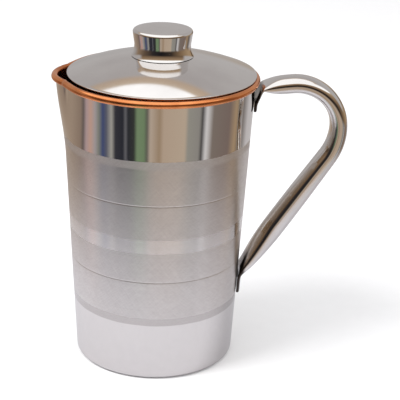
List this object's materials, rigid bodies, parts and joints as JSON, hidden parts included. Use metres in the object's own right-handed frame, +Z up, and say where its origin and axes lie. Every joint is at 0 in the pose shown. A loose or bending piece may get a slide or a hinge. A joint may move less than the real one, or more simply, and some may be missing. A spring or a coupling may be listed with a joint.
{
  "type": "lidded water jug",
  "caption": "Tapered double-wall water jug with a steel shell, a copper liner rolled over the rim, a pouring lip, a bent pipe handle and a lift-off domed lid with a hollow knob.",
  "frame": {"origin": "centre of the flat base, on the jug's axis, where it stands", "axes": "+Z up along the jug's axis, +X towards the handle, -X towards the pouring lip, +Y to the jug's left side when the handle is at the back"},
  "size_m": [0.2043, 0.1384, 0.236],
  "materials": {
    "shell_steel": "stainless steel, turned satin in the middle with two polished bands and two fine grooves, mirror polished at the top and the foot",
    "liner_copper": "bright spun copper, rolled rim burnished, inside darker and satin",
    "polished_steel": "mirror polished stainless steel with fine polishing lines",
    "plated_steel": "plain machined stainless steel"
  },
  "bodies": {
    "jug": {"outer_shell": "shell_steel", "copper_liner": "liner_copper", "handle_tube": "polished_steel"},
    "lid": {"lid_dome": "polished_steel", "lid_locating_ring": "polished_steel", "knob_shell": "polished_steel", "knob_plate": "plated_steel", "knob_washer": "plated_steel", "knob_screw": "plated_steel"}
  },
  "joints": [
    {"name": "lid_lift", "type": "slide", "parent": "jug", "child": "lid", "axis": [0, 0, 1], "range_m": [0, 0.06]}
  ]
}
